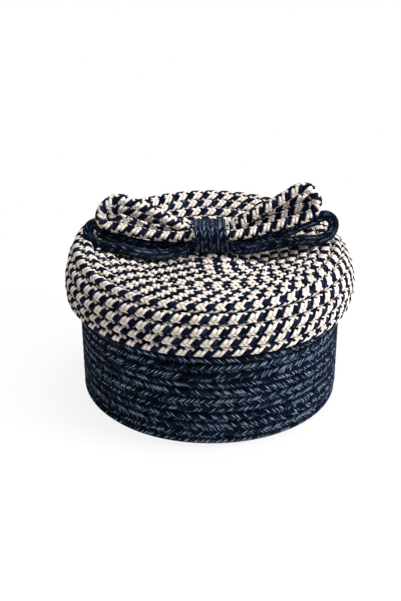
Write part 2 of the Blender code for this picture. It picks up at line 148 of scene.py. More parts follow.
# Each loop's route on either side of the knot, listed: share of the reach along X, then across
# and height over the crown, in strand spacings. Some points of LOWER_LEFT, LOWER_RIGHT and
# FRONT_LEFT lie up to 4 mm from those of the solids
LOWER_LEFT = (
    (-0.205, -1.25, 0.12), (-0.285, -1.50, 0.15), (-0.41, -1.88, 0.15), (-0.57, -2.22, 0.12),
    (-0.72, -2.42, 0.12), (-0.85, -2.00, 0.10), (-0.95, -1.42, 0.25), (-1.00, -0.95, 0.75),
    (-1.00, -0.50, 1.35), (-0.965, 0.00, 1.60), (-0.915, 0.20, 1.30), (-0.87, 0.05, 0.72),
    (-0.82, -0.20, 0.32), (-0.75, -0.48, 0.28), (-0.65, -0.68, 0.42), (-0.49, -0.70, 0.56),
    (-0.34, -0.55, 0.52), (-0.22, -0.22, 0.55),
)
LOWER_RIGHT = (
    (0.21, -1.30, 0.22), (0.285, -1.47, 0.45), (0.38, -1.58, 0.80), (0.51, -1.56, 0.90),
    (0.63, -1.56, 0.78), (0.75, -1.51, 0.60), (0.87, -1.35, 0.60), (0.95, -1.04, 0.85),
    (0.99, -0.57, 1.40), (0.99, -0.10, 2.00), (0.94, 0.10, 2.40), (0.88, 0.10, 2.26),
    (0.81, 0.05, 1.80), (0.74, 0.00, 1.45), (0.64, -0.10, 1.30), (0.53, -0.21, 1.33),
    (0.42, -0.31, 1.28), (0.29, -0.28, 0.90),
)
FRONT_LEFT = (
    (-0.225, -0.44, 1.80), (-0.30, -0.47, 2.42), (-0.40, -0.52, 3.22), (-0.51, -0.57, 3.97),
    (-0.63, -0.62, 4.36), (-0.74, -0.68, 4.46), (-0.84, -0.73, 4.42), (-0.92, -0.78, 4.07),
    (-0.98, -0.83, 3.42), (-1.00, -0.94, 2.67), (-0.97, -0.99, 1.98), (-0.90, -1.04, 1.76),
    (-0.80, -1.06, 1.74), (-0.67, -1.09, 1.84), (-0.54, -1.09, 1.90), (-0.42, -1.16, 1.76),
    (-0.30, -1.30, 1.60), (-0.225, -1.39, 1.58),
)
FRONT_RIGHT = (
    (0.225, -0.44, 2.07), (0.30, -0.47, 2.95), (0.40, -0.52, 3.93), (0.53, -0.57, 4.65),
    (0.65, -0.62, 5.10), (0.74, -0.68, 5.43), (0.82, -0.73, 5.56), (0.89, -0.78, 5.28),
    (0.94, -0.83, 4.48), (0.935, -0.94, 3.56), (0.89, -0.99, 2.98), (0.83, -1.04, 2.70),
    (0.74, -1.04, 2.60), (0.64, -1.09, 2.66), (0.53, -1.09, 2.60), (0.42, -1.16, 2.38),
    (0.32, -1.28, 2.04), (0.24, -1.38, 1.80),
)
BACK_LEFT = (
    (-0.225, 0.61, 1.85), (-0.30, 0.62, 2.25), (-0.41, 0.58, 2.68), (-0.54, 0.54, 2.95),
    (-0.67, 0.52, 3.05), (-0.79, 0.50, 3.05), (-0.88, 0.48, 2.98), (-0.945, 0.38, 2.72),
    (-0.96, 0.20, 2.30), (-0.93, 0.03, 1.98), (-0.85, -0.02, 1.88), (-0.75, -0.02, 1.86),
    (-0.62, 0.00, 1.86), (-0.50, 0.08, 1.78), (-0.40, 0.25, 1.52), (-0.31, 0.55, 1.12),
    (-0.222, 0.88, 0.68),
)
BACK_RIGHT = (
    (0.225, 0.61, 2.08), (0.305, 0.62, 2.70), (0.43, 0.58, 3.36), (0.58, 0.54, 3.78),
    (0.71, 0.52, 3.98), (0.81, 0.50, 4.06), (0.885, 0.48, 4.00), (0.94, 0.38, 3.80),
    (0.955, 0.18, 3.44), (0.90, 0.02, 3.12), (0.81, 0.00, 3.08), (0.68, 0.00, 2.98),
    (0.55, 0.06, 2.70), (0.435, 0.22, 2.22), (0.335, 0.54, 1.62), (0.232, 0.88, 0.78),
)


def linear(hex_colour):
    """A colour given as sRGB hex, as the linear values that a shader takes."""
    parts = [int(hex_colour[k:k + 2], 16) / 255.0 for k in (1, 3, 5)]
    return tuple(c / 12.92 if c <= 0.04045 else ((c + 0.055) / 1.055) ** 2.4 for c in parts)


def length_property(label, text, value):
    """A size in metres that the sidebar shows with its unit."""
    return FloatProperty(name=label, description=text, default=value, unit="LENGTH",
                         precision=4, min=0.0)


def colour_property(label, text, hex_colour):
    """A yarn colour."""
    return FloatVectorProperty(name=label, description=text, subtype="COLOR", size=3,
                               default=linear(hex_colour), min=0.0, max=1.0)


class BasketSizes(PropertyGroup):
    """Sizes of the basket, the same as the solids'."""
    radius: length_property("Radius", "Outer radius of the basket", 0.123)
    height: length_property("Wall height", "Height of the rim", 0.129)
    heel: length_property("Heel radius", "Outer rounding between floor and wall", 0.0085)
    cord_width: length_property("Cord width", "Height of one row of the wall", 0.008)
    cord_thickness: length_property("Cord thickness", "Thickness of the wall", 0.007)


class LidSizes(PropertyGroup):
    """Sizes of the lid: the solids', and the dressed lid's own back lift, fullness and swell."""
    fit: length_property("Fit", "Gap between the basket and the inside of the rim", 0.001)
    rope: length_property("Rope", "Diameter of the lid's rope", 0.0095)
    tuck: length_property("Tuck", "How far the rim draws in under the widest row", 0.0024)
    tuck_height: length_property("Tuck height", "Height of the widest row", 0.016)
    shoulder_height: length_property("Shoulder height", "Rise from widest row to crest", 0.029)
    shoulder_width: length_property("Shoulder width", "From widest row in to the crest", 0.025)
    dish_depth: length_property("Dish depth", "Drop from the crest to the dish", 0.0145)
    dish_floor: length_property("Dish floor", "Radius of the lowest part of the dish", 0.048)
    mound: length_property("Mound", "Rise of the middle of the crown", 0.0055)
    lean: length_property("Lean", "Extra height of the crest at the back", 0.009)
    back_lift: length_property("Back lift", "Height the crest gains besides, at the back", 0.0015)
    fullness: length_property("Fullness", "How far the shoulder swells above an oval", 0.003)
    swell: length_property("Swell", "How much more it swells at the left", 0.0065)
    lean_start: length_property("Lean start", "Past the basket, where the lean begins", 0.007)
    lean_width: length_property("Lean width", "Over which the lean comes in", 0.024)


class BowSizes(PropertyGroup):
    """Sizes of the bow: the solids', and the ropes' fullness past the knot."""
    rope: length_property("Rope", "Diameter of the bow's ropes", 0.009)
    strand_gap: length_property("Strand gap", "Gap between strands side by side", 0.0006)
    fullness: length_property("Fullness", "Extra radius outside the knot", 0.00045)
    lower_reach: length_property("Lower reach", "Half length of the navy loops", 0.113)
    front_reach: length_property("Front reach", "Half length of the front loops", 0.101)
    back_reach: length_property("Back reach", "Half length of the back loops", 0.096)
    centre_x: length_property("Centre", "How far right of the middle the knot sits", 0.0015)
    clearance: length_property("Clearance", "Gap under the strands and the knot", 0.0003)
    wrap_turns: IntProperty(name="Wrap turns", description="Turns of cord round the knot",
                            default=4, min=1)
    wrap_width: length_property("Wrap width", "Width of the cord round the knot", 0.0068)
    wrap_thickness: length_property("Wrap thickness", "Thickness of that cord", 0.0034)
    wrap_gap: length_property("Wrap gap", "Gap between its turns", 0.00055)
    wrap_fit: length_property("Wrap fit", "Gap between it and the strands", 0.0009)
    straight: length_property("Straight", "Straight strand past the wrap", 0.003)


class YarnLooks(PropertyGroup):
    """Colours of the yarns and the pitch of the braids."""
    cream: colour_property("Cream", "Undyed cotton yarn", "#F4EFE8")
    beige: colour_property("Beige", "Undyed yarn that is a shade darker", "#DFD0C0")
    # Painted shade: tan darkens the undyed stitches towards their edges and ends and between
    # their yarns
    tan: colour_property("Tan", "Shade between two undyed stitches", "#755F4C")
    ink: colour_property("Ink", "Navy yarn of the two-tone rope", "#060A18")
    # Painted highlight: slate lightens the crests of the navy yarns, more on stitches chosen at
    # random
    slate_highlight: colour_property("Slate", "Lighter navy yarn of the two-tone rope", "#2C3A5E")
    navy: colour_property("Navy", "Ground colour of the navy cord", "#02060E")
    denim: colour_property("Denim", "Middle tone of the navy cord", "#10203C")
    fleck: colour_property("Fleck", "Pale yarns of the navy cord", "#BFD6F4")
    rope_period: length_property("Rope period", "Length of one colour repeat", 0.0154)
    bow_period: length_property("Bow period", "The same on the bow's ropes", 0.0134)
    cord_stitch: length_property("Cord stitch", "Distance between two chevrons", 0.0035)
    bow_stitch: length_property("Bow stitch", "The same on the navy loops", 0.0026)
    wrap_stitch: length_property("Wrap stitch", "The same on the cord round the knot", 0.0025)


class Line:
    """A line in the (radius, height) plane that is read by the distance along it."""

    def __init__(self, points):
        self.points = np.array(points)
        steps = np.linalg.norm(np.diff(self.points, axis=0), axis=1)
        self.distance = np.concatenate([[0.0], np.cumsum(steps)])
        self.length = float(self.distance[-1])

    def at(self, where):
        """Radius and height at distances along the line."""
        return (np.interp(where, self.distance, self.points[:, 0]),
                np.interp(where, self.distance, self.points[:, 1]))


def arc(centre, radii, start, end, steps=48):
    """Points of an elliptical arc: centre plus radii times cosine and sine of the angle."""
    angle = np.radians(np.linspace(start, end, steps + 1))
    return np.stack([centre[0] + radii[0] * np.cos(angle),
                     centre[1] + radii[1] * np.sin(angle)], axis=1)


def smooth_step(value):
    """Ease from 0 to 1 with level ends: 3 t squared less 2 t cubed."""
    share = np.clip(value, 0.0, 1.0)
    return share * share * (3.0 - 2.0 * share)


def unit(vectors):
    """Vectors divided by their lengths."""
    return vectors / np.maximum(np.linalg.norm(vectors, axis=-1, keepdims=True), 1e-12)


# Rope and cord


class Braid:
    """How a rope is braided: strands each way, how many of them a stitch passes over, and relief.

    With u in leads along the rope and v in turns round it, strands of the first set follow
    p = strands (u + v) and those of the second q = strands (u - v). A stitch of the first set
    is on top where (floor p - floor q) modulo twice the span is less than the span.
    """

    def __init__(self, strands, span, repeat, relief, sides, step, squeeze=0.0, flat=1.0):
        self.strands = strands
        self.span = span
        self.lead = repeat * strands
        self.relief = relief
        self.sides = sides
        self.step = step
        self.squeeze = squeeze
        self.flat = flat

    def height(self, u, v):
        """Rise of the surface: a half round across the strand times an arch along the stitch."""
        p = self.strands * (u + v)
        q = self.strands * (u - v)
        i = np.floor(p)
        j = np.floor(q)
        first = np.mod(i - j, 2 * self.span) < self.span
        across = np.where(first, p - i, q - j)
        along = np.where(first, np.mod(q - i + self.span - 1, 2 * self.span),
                         np.mod(p - j - self.span, 2 * self.span)) / self.span
        round_top = np.sqrt(np.clip(1.0 - (2.0 * across - 1.0) ** 2, 0.0, 1.0))
        arch = np.sqrt(np.sin(np.pi * np.clip(along, 0.0, 1.0)))
        return self.relief * (round_top * arch - RELIEF_SUNK)


def put_mesh(name, vertices, quads, triangles, quad_uv, triangle_uv, material):
    """A smooth mesh object at the origin, from arrays."""
    mesh = bpy.data.meshes.new(name)
    loops = np.concatenate([quads.ravel(), triangles.ravel()]).astype(np.int32)
    sizes = np.concatenate([np.full(len(quads), 4), np.full(len(triangles), 3)])
    starts = np.concatenate([[0], np.cumsum(sizes)[:-1]]).astype(np.int32)
    mesh.vertices.add(len(vertices))
    mesh.vertices.foreach_set("co", vertices.astype(np.float32).ravel())
    mesh.loops.add(len(loops))
    mesh.loops.foreach_set("vertex_index", loops)
    mesh.polygons.add(len(sizes))
    mesh.polygons.foreach_set("loop_start", starts)
    layer = mesh.uv_layers.new(name="braid")
    uv = np.concatenate([quad_uv.reshape(-1, 2), triangle_uv.reshape(-1, 2)])
    layer.data.foreach_set("uv", uv.astype(np.float32).ravel())
    mesh.update(calc_edges=True)
    mesh.validate()
    mesh.shade_smooth()
    mesh.materials.append(material)
    item = bpy.data.objects.new(name, mesh)
    bpy.context.scene.collection.objects.link(item)
    return item


def braided_tube(name, centre, out, side, radii, braid, start, twist, material, closed=False):
    """A braided rope along a path, as one grid.

    Each ring is the path's point plus cos(a) times the outward radius along `out` plus sin(a)
    times the sideways radius along `side`, with the braid's relief added to both radii; a power
    `flat` below 1 on cosine and sine squares the ring off. UV holds leads along the rope and
    turns round it, times the strands; `squeeze` widens the stitches that face out. A closed
    rope holds a whole number of colour repeats.
    """
    count = len(centre)
    steps = np.linalg.norm(np.diff(centre, axis=0), axis=1)
    travelled = start + np.concatenate([[0.0], np.cumsum(steps)])
    sway = SWAY * sum(np.sin(travelled / length) for length in SWAY_LENGTHS)
    u = -(travelled + sway) / braid.lead
    if closed:
        stitches = (travelled[-1] - start) / braid.lead * braid.strands
        whole = max(1, round(stitches / REPEAT_STRANDS)) * REPEAT_STRANDS
        u = u * whole / stitches
    angle = np.linspace(-0.5 * np.pi, 1.5 * np.pi, braid.sides + 1)
    v = (angle - braid.squeeze * np.sin(2.0 * angle)) / TURN
    grid_u = np.repeat(u[:, None], braid.sides + 1, axis=1)
    grid_v = v[None, :] + np.broadcast_to(np.asarray(twist, float), (count,))[:, None]
    relief = braid.height(grid_u, grid_v)[:, :-1]
    ring = angle[:-1]
    away = np.sign(np.cos(ring)) * np.abs(np.cos(ring)) ** braid.flat
    aside = np.sign(np.sin(ring)) * np.abs(np.sin(ring)) ** braid.flat
    radius_out = (radii[:, :1] + relief) * away
    radius_side = (radii[:, 1:] + relief) * aside
    points = (centre[:, None] + radius_out[..., None] * out[:, None]
              + radius_side[..., None] * side[:, None])
    if closed:
        points = points[:-1]
    rows = len(points)
    index = np.arange(rows * braid.sides).reshape(rows, braid.sides)
    index = np.concatenate([index, index[:, :1]], axis=1)
    if closed:
        index = np.concatenate([index, index[:1]], axis=0)
    quads = np.stack([index[:-1, :-1], index[:-1, 1:], index[1:, 1:], index[1:, :-1]], axis=-1)
    uv = braid.strands * np.stack([grid_u, grid_v], axis=-1)
    quad_uv = np.stack([uv[:-1, :-1], uv[:-1, 1:], uv[1:, 1:], uv[1:, :-1]], axis=2)
    vertices = points.reshape(-1, 3)
    triangles = np.zeros((0, 3), int)
    triangle_uv = np.zeros((0, 3, 2))
    if not closed:
        first, last = len(vertices), len(vertices) + 1
        vertices = np.concatenate([vertices, points[0].mean(axis=0)[None],
                                   points[-1].mean(axis=0)[None]])
        near, far = index[0], index[-1]
        head = np.stack([near[1:], near[:-1], np.full(braid.sides, first)], axis=-1)
        tail = np.stack([far[:-1], far[1:], np.full(braid.sides, last)], axis=-1)
        triangles = np.concatenate([head, tail])
        head_uv = np.stack([uv[0, 1:], uv[0, :-1], uv[0, :-1]], axis=1)
        tail_uv = np.stack([uv[-1, :-1], uv[-1, 1:], uv[-1, 1:]], axis=1)
        triangle_uv = np.concatenate([head_uv, tail_uv])
    quads = quads.reshape(-1, 4)
    quad_uv = quad_uv.reshape(-1, 4, 2)
    corner = vertices[quads[:, 0]]
    normal = np.cross(vertices[quads[:, 1]] - corner, vertices[quads[:, 3]] - corner)
    around = np.broadcast_to(centre[:rows, None], points.shape).reshape(-1, 3)
    outward = np.sum(normal * (corner - around[quads[:, 0]]), axis=1).sum() > 0.0
    if not outward:
        quads, quad_uv = quads[:, ::-1], quad_uv[:, ::-1]
        triangles, triangle_uv = triangles[:, ::-1], triangle_uv[:, ::-1]
    return put_mesh(name, vertices, quads, triangles, quad_uv, triangle_uv, material)


def read_path(points, place):
    """Points between those of a path, at places counted in its own points."""
    order = np.arange(len(points))
    return np.stack([np.interp(place, order, points[:, axis]) for axis in range(3)], axis=-1)


def turned(radius, angle, height):
    """Points at a radius, an angle round the axis and a height."""
    return np.stack([radius * np.cos(angle), radius * np.sin(angle), height], axis=-1)


def even_steps(points, step):
    """Shares of the way along a path at which its points are one step apart."""
    lengths = np.linalg.norm(np.diff(points, axis=0), axis=1)
    travelled = np.concatenate([[0.0], np.cumsum(lengths)])
    count = max(8, int(round(travelled[-1] / step)))
    return np.interp(np.linspace(0.0, travelled[-1], count + 1), travelled,
                     np.arange(len(points))), travelled[-1]


def wound_rope(names, form, turns, half, fit, braid, twist_at, taper, breaks, material):
    """A rope wound on a form's surface, cut into pieces that butt.

    `form.surface(where, angle)` gives points and `form.where_at(turn)` the distance along the
    profile. The rope runs clockwise seen from above, from the back. Its side direction climbs
    the profile and its outward one is square to that and to the rope. Its radius outward is
    `half`, and sideways it reaches half way to the further row beside it, plus `fit`. Over the
    `taper` lengths at its two ends it thins and leans against the row beside it.
    """
    surface, where_at = form.surface, form.where_at
    fine = np.linspace(turns[0], turns[1], int(480 * (turns[1] - turns[0])))
    place, length = even_steps(surface(where_at(fine), 0.25 * TURN - TURN * fine), braid.step)
    turn = np.interp(place, np.arange(len(fine)), fine)
    angle = 0.25 * TURN - TURN * turn
    travelled = np.linspace(0.0, length, len(turn))
    grown = 1.0 - THIN_END
    from_start = THIN_END + grown * np.sqrt(np.clip(travelled / taper[0], 0.0, 1.0))
    from_end = THIN_END + grown * np.sqrt(np.clip((length - travelled) / taper[1], 0.0, 1.0))
    thin = np.minimum(from_start, from_end)
    where = where_at(turn) + 0.5 * form.pitch * (from_end - from_start)
    centre = surface(where, angle)
    along = unit(np.gradient(centre, axis=0))
    nudge = 0.5 * MM
    side = unit(surface(where + nudge, angle) - surface(where - nudge, angle))
    out = unit(np.cross(side, along))
    side = unit(np.cross(along, out))
    above = np.linalg.norm(surface(where + form.pitch, angle) - centre, axis=1)
    below = np.linalg.norm(surface(where - form.pitch, angle) - centre, axis=1)
    reach = 0.5 * np.maximum(np.maximum(above, below), LEAST_ROW * form.pitch) + fit
    sizes = np.stack([half * thin, reach * thin], axis=-1)
    made = []
    cuts = np.searchsorted(turn, [turns[0], *breaks, turns[1]])
    for name, low, high in zip(names, cuts[:-1], cuts[1:]):
        part = slice(low, min(high + 1, len(centre)))
        made.append(braided_tube(name, centre[part], out[part], side[part], sizes[part], braid,
                                 travelled[low], twist_at(turn[part]), material))
    return made


def cord_roll(turn):
    """How far the basket's cord is rolled: an eighth, a quarter more every two turns, a sway."""
    return 0.125 + 0.03 * np.sin(2.1 * turn) + 0.25 * np.floor(turn / 2.0) % 1.0


def lid_roll(turn):
    """How far the lid's rope is rolled: from the skirt's roll to the crown's, with a sway."""
    share = smooth_step((turn - ROLL_START) / ROLL_TURNS)
    return SKIRT_ROLL + (CROWN_ROLL - SKIRT_ROLL) * share + 0.02 * np.sin(11.0 * turn)


# Lid lines


class LidForm:
    """The surface that the middle of the lid's rope lies on: the solids' lines, and a swell."""

    def __init__(self, basket, lid):
        half = lid.rope / 2.0
        self.half = half
        self.edge = basket.radius
        self.lid = lid
        self.seat = float(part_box("lid_shell")[0].z)
        rim = basket.radius + lid.fit + half
        self.widest = rim + lid.tuck
        self.crest_radius = self.widest - lid.shoulder_width
        crest = half + lid.tuck_height + lid.shoulder_height
        self.floor = min(lid.dish_floor, self.crest_radius / 2.0)
        tuck = arc((rim, half + lid.tuck_height), (lid.tuck, lid.tuck_height), -90, 0)
        below = np.array([[rim - 0.3 * lid.tuck, half - lid.rope]])
        shoulder = arc((self.crest_radius, half + lid.tuck_height),
                       (lid.shoulder_width, lid.shoulder_height), 0, 90)[1:]
        share = np.linspace(0.0, 1.0, 60)[1:]
        dish = np.stack([self.crest_radius - (self.crest_radius - self.floor) * share,
                         crest - lid.dish_depth * smooth_step(share)], axis=1)
        middle = np.stack([self.floor - (self.floor - half) * share,
                           crest - lid.dish_depth + lid.mound * smooth_step(share)], axis=1)
        self.line = Line(np.concatenate([below, tuck, shoulder, dish, middle]))
        self.start = float(self.line.distance[1])
        self.length = self.line.length - self.start
        self.turns = max(3, round(self.length / lid.rope))
        self.pitch = self.length / self.turns

    def lean(self, radius, sine):
        """Rise at the back and drop at the front, faded out over shoulder and dish."""
        outer = smooth_step((self.edge + self.lid.lean_start - radius) / self.lid.lean_width)
        inner = smooth_step((radius - self.floor) / (self.crest_radius - self.floor))
        rise = self.lid.lean * sine + self.lid.back_lift * np.maximum(sine, 0.0) ** 2
        return rise * outer * inner

    def swell(self, radius, angle):
        """Rise of the sewn shoulder over the oval, least at the front and most at the left."""
        width = self.lid.shoulder_width
        inner = smooth_step((radius - self.crest_radius + SWELL_INSIDE * width)
                            / (SWELL_EASE * width))
        outer = smooth_step((self.widest - radius) / (SWELL_FADE * width))
        turned = 0.5 + 0.5 * np.cos(angle - SWELL_BEARING)
        even = 1.0 - SWELL_LESS_FRONT * np.maximum(-np.sin(angle), 0.0) ** 2
        return (self.lid.fullness * even + self.lid.swell * turned ** 8) * inner * outer

    def surface(self, where, angle):
        """Points at distances along the line and angles round the axis."""
        radius, height = self.line.at(where + self.start)
        rise = self.lean(radius, np.sin(angle)) + self.swell(radius, angle)
        return turned(radius, angle, height + self.seat + rise)

    def where_at(self, turn):
        """Distance along the line: one pitch a turn."""
        return self.pitch * (turn - RIM_START)

    def top(self, x, y):
        """Height of the crown's upper side; past the crest it stays as high as the crest."""
        where = np.linspace(0.5 * self.length, self.length, 400)
        radius, height = self.line.at(where + self.start)
        before = self.line.at(where + self.start - MM)
        after = self.line.at(where + self.start + 0.99 * MM)
        slope = unit(np.subtract(after, before).T)
        radius = radius + self.half * slope[:, 1]
        height = height - self.half * slope[:, 0]
        order = np.argsort(radius)
        peak = radius[np.argmax(height)]
        distance = np.minimum(np.hypot(x, y), peak)
        sine = y / np.maximum(np.hypot(x, y), 1e-9)
        return (np.interp(distance, radius[order], height[order]) + self.seat
                + self.lean(distance, sine))


class BasketForm:
    """The surface that the middle of the basket's cord lies on: floor, heel and wall."""

    def __init__(self, basket):
        half = basket.cord_thickness / 2.0
        heel = basket.heel - half
        floor = np.array([[basket.cord_width / 2.0, half]])
        bend = arc((basket.radius - basket.heel, basket.heel), (heel, heel), -90, 0)
        rim = np.array([[basket.radius - half, basket.height - basket.cord_width / 2.0]])
        self.line = Line(np.concatenate([floor, bend, rim]))
        self.turns = round(self.line.length / basket.cord_width)
        self.pitch = self.line.length / self.turns

    def surface(self, where, angle):
        """Points at distances along the line and angles round the axis."""
        radius, height = self.line.at(where)
        return turned(radius, angle, height)

    def where_at(self, turn):
        """Distance along the line: one pitch a turn."""
        return self.pitch * turn


# Bow lines


def wrap_reach(bow):
    """Half length of the straight strands through the knot."""
    pitch = bow.wrap_width + bow.wrap_gap
    return bow.wrap_turns * pitch / 2.0 + bow.straight


def knot_points(bow, form, sides, place):
    """Points of a strand on its straight run through the knot."""
    spacing = bow.rope + bow.strand_gap
    rest = (float(form.top(0.0, 0.0)) + bow.clearance + bow.wrap_thickness + bow.wrap_fit
            + bow.rope / 2.0)
    side = np.array(sides, float)
    return np.stack([bow.centre_x + side * wrap_reach(bow), 0.0 * side + place[0] * spacing,
                     0.0 * side + rest + place[1] * spacing], axis=-1)


def loop_points(bow, form, reach, table):
    """Points of a loop, measured up from the crown under them."""
    spacing = bow.rope + bow.strand_gap
    share, across, height = np.array(table).T
    x = bow.centre_x + share * reach
    y = across * spacing
    z = form.top(x, y) + bow.clearance + bow.rope / 2.0 + height * spacing
    return np.stack([x, y, z], axis=-1)


def smooth_loop(points, step):
    """A closed Catmull-Rom curve through the points, read at even steps along it."""
    before = np.roll(points, 1, axis=0)[:, None]
    after = np.roll(points, -1, axis=0)[:, None]
    beyond = np.roll(points, -2, axis=0)[:, None]
    here = points[:, None]
    share = (np.arange(40) / 40.0)[None, :, None]
    curve = 0.5 * (2.0 * here + (after - before) * share
                   + (2.0 * before - 5.0 * here + 4.0 * after - beyond) * share ** 2
                   + (3.0 * here - before - 3.0 * after + beyond) * share ** 3)
    curve = curve.reshape(-1, 3)
    curve = np.concatenate([curve, curve[:1]])
    return read_path(curve, even_steps(curve, step)[0])


def bow_rope(name, bow, form, reach, knot, tables, braid, twist, material):
    """One closed loop of rope: knot, left loop, knot again and right loop."""
    left, right = tables
    route = np.concatenate([
        knot_points(bow, form, (1.0, 0.0, -1.0), knot[0]),
        loop_points(bow, form, reach, left),
        knot_points(bow, form, (-1.0, 0.0, 1.0), knot[1]),
        loop_points(bow, form, reach, right)[::-1],
    ])
    centre = smooth_loop(route, braid.step)
    along = centre[np.r_[1:len(centre), 1]] - centre[np.r_[len(centre) - 2, 0:len(centre) - 1]]
    along = unit(along)
    level = np.array([0.0, -1.0, 0.35])
    out = unit(level - (along @ level)[:, None] * along)
    side = np.cross(along, out)
    past = (np.abs(centre[:, 0] - bow.centre_x) - wrap_reach(bow)) / FULL_RADIUS_OVER
    radius = bow.rope / 2.0 + bow.fullness * smooth_step(past)
    radii = np.stack([radius, radius], axis=-1)
    return braided_tube(name, centre, out, side, radii, braid, 0.0, twist, material, closed=True)


def wrap_band(name, bow, form, braid, material):
    """The cord round the knot, a taut band over the strands that reach furthest out.

    At each angle the band's middle lies past the furthest strand that way; it moves one pitch
    along X a turn, from the back round to the back, and both ends thin out. It makes
    half a turn more than the solid's and is one pitch wide, so that its turns touch.
    """
    places = np.array([*LOWER_KNOT, *FRONT_KNOT, *BACK_KNOT])
    strands = np.concatenate([knot_points(bow, form, (0.0,), place)[:, 1:] for place in places])
    turn = np.linspace(0.0, bow.wrap_turns, 240 * bow.wrap_turns + 1)
    angle = TURN * turn
    way = np.stack([np.cos(angle), np.sin(angle)], axis=-1)
    furthest = strands[np.argmax(strands @ way.T, axis=0)]
    away = bow.rope / 2.0 + bow.wrap_fit + bow.wrap_thickness / 2.0
    middle = furthest + away * way
    pitch = bow.wrap_width + bow.wrap_gap
    x = bow.centre_x + (turn - bow.wrap_turns / 2.0) * pitch
    path = np.concatenate([x[:, None], middle], axis=1)
    place, length = even_steps(path, braid.step)
    centre = read_path(path, place)
    bearing = np.interp(place, np.arange(len(path)), angle)
    along = unit(np.gradient(centre, axis=0))
    out = np.stack([0.0 * bearing, np.cos(bearing), np.sin(bearing)], axis=-1)
    side = unit(np.cross(along, out))
    out = unit(np.cross(side, along))
    travelled = np.linspace(0.0, length, len(centre))
    ends = np.clip(np.minimum(travelled, length - travelled) / WRAP_TAPER, 0.0, 1.0)
    thin = WRAP_THIN_END + (1.0 - WRAP_THIN_END) * np.sqrt(ends)
    radii = np.stack([bow.wrap_thickness / 2.0 * thin, pitch / 2.0 * thin], axis=-1)
    return braided_tube(name, centre, out, side, radii, braid, 0.0, 0.0, material)


# Materials


def add_node(tree, kind, values=(), operation=None, out=0, **settings):
    """Add a node, set its fields, fill or link its inputs, and return one of its outputs.

    `values` go to the first inputs in order, or a dict gives each input's name or number.
    """
    node = tree.nodes.new(kind)
    if operation:
        node.operation = operation
    for key, value in settings.items():
        setattr(node, key, value)
    for key, value in values.items() if isinstance(values, dict) else enumerate(values):
        if isinstance(value, bpy.types.NodeSocket):
            tree.links.new(value, node.inputs[key])
        else:
            node.inputs[key].default_value = value
    return node.outputs[out]


WHITE = (1.0, 1.0, 1.0, 1.0)
COLOUR = {"out": 2, "data_type": "RGBA"}
MATH = "ShaderNodeMath"
MIX = "ShaderNodeMix"
NOISE = "ShaderNodeTexWhiteNoise"

# Sizes of the noise: fuzz of 1.1 mm on the two-tone rope and of 1.7 mm on the navy cord,
# which are as fine as shows here, and denim patches of 26 mm
ROPE_FUZZ = MM / 0.9
CORD_FUZZ = MM / 0.6
CORD_PATCH = MM / 0.038

# Chance above which a yarn of the navy cord starts to pale, and at which it is fully pale
FLECK_START = 0.88
FLECK_FULL = 1.24


def braid_nodes(add, span):
    """The braid's pattern from the piece's own UV, by the formula in Braid."""
    uv = add("ShaderNodeUVMap", uv_map="braid")
    u = add("ShaderNodeSeparateXYZ", (uv,))
    v = add("ShaderNodeSeparateXYZ", (uv,), out=1)
    p = add(MATH, (u, v), "ADD")
    q = add(MATH, (u, v), "SUBTRACT")
    i = add(MATH, (p,), "FLOOR")
    j = add(MATH, (q,), "FLOOR")
    apart = add(MATH, (i, j), "SUBTRACT")
    cell = add(MATH, (apart, 2.0 * span), "FLOORED_MODULO")
    first = add(MATH, (cell, span - 0.5), "LESS_THAN")
    f_p = add(MATH, (p, i), "SUBTRACT")
    f_q = add(MATH, (q, j), "SUBTRACT")
    across = add(MIX, {0: first, 2: f_q, 3: f_p})
    rise_a = add(MATH, (q, i), "SUBTRACT")
    rise_a = add(MATH, (rise_a, span - 1.0), "ADD")
    rise_b = add(MATH, (p, j), "SUBTRACT")
    rise_b = add(MATH, (rise_b, span), "SUBTRACT")
    rise = add(MIX, {0: first, 2: rise_b, 3: rise_a})
    along = add(MATH, (rise, 2.0 * span), "FLOORED_MODULO")
    along = add(MATH, (along, span), "DIVIDE")
    stitch = add(MATH, (rise, 2.0 * span), "DIVIDE")
    stitch = add(MATH, (stitch,), "FLOOR")
    strand = add(MIX, {0: first, 2: j, 3: i})
    key = add("ShaderNodeCombineXYZ", (strand, stitch, first))
    arch = add(MATH, (along, math.pi), "MULTIPLY")
    arch = add(MATH, (arch,), "SINE", use_clamp=True)
    lie = add(MATH, (along, YARN_SLANT, across), "MULTIPLY_ADD")
    return {"first": first, "across": across, "arch": arch, "lie": lie, "i": i, "j": j,
            "key": key}


def stitch_relief(add, braid, yarns):
    """A stitch's height, half round across and arched along, and that of its yarns, 0 to 1."""
    centred = add(MATH, (braid["across"], 2.0, -1.0), "MULTIPLY_ADD")
    square = add(MATH, (centred, centred), "MULTIPLY")
    hollow = add(MATH, (1.0, square), "SUBTRACT", use_clamp=True)
    round_top = add(MATH, (hollow,), "SQRT")
    arch = add(MATH, (braid["arch"], 0.45), "POWER")
    body = add(MATH, (round_top, arch), "MULTIPLY")
    wave = add(MATH, (braid["lie"], yarns * math.pi), "MULTIPLY")
    wave = add(MATH, (wave,), "SINE")
    wave = add(MATH, (wave,), "ABSOLUTE")
    return body, wave


def start_material(name):
    """A new material, its tree, add_node for that tree, and its shader."""
    material = bpy.data.materials.new(name)
    material.use_nodes = True
    tree = material.node_tree
    return material, tree, partial(add_node, tree), tree.nodes["Principled BSDF"]


def cotton_fuzz(add, place, size):
    """Noise that stands for the fuzz of cotton, its size in metres."""
    return add("ShaderNodeTexNoise", {"Vector": place, "Scale": 1.0 / size, "Detail": 3.0,
                                      "Roughness": 0.6})


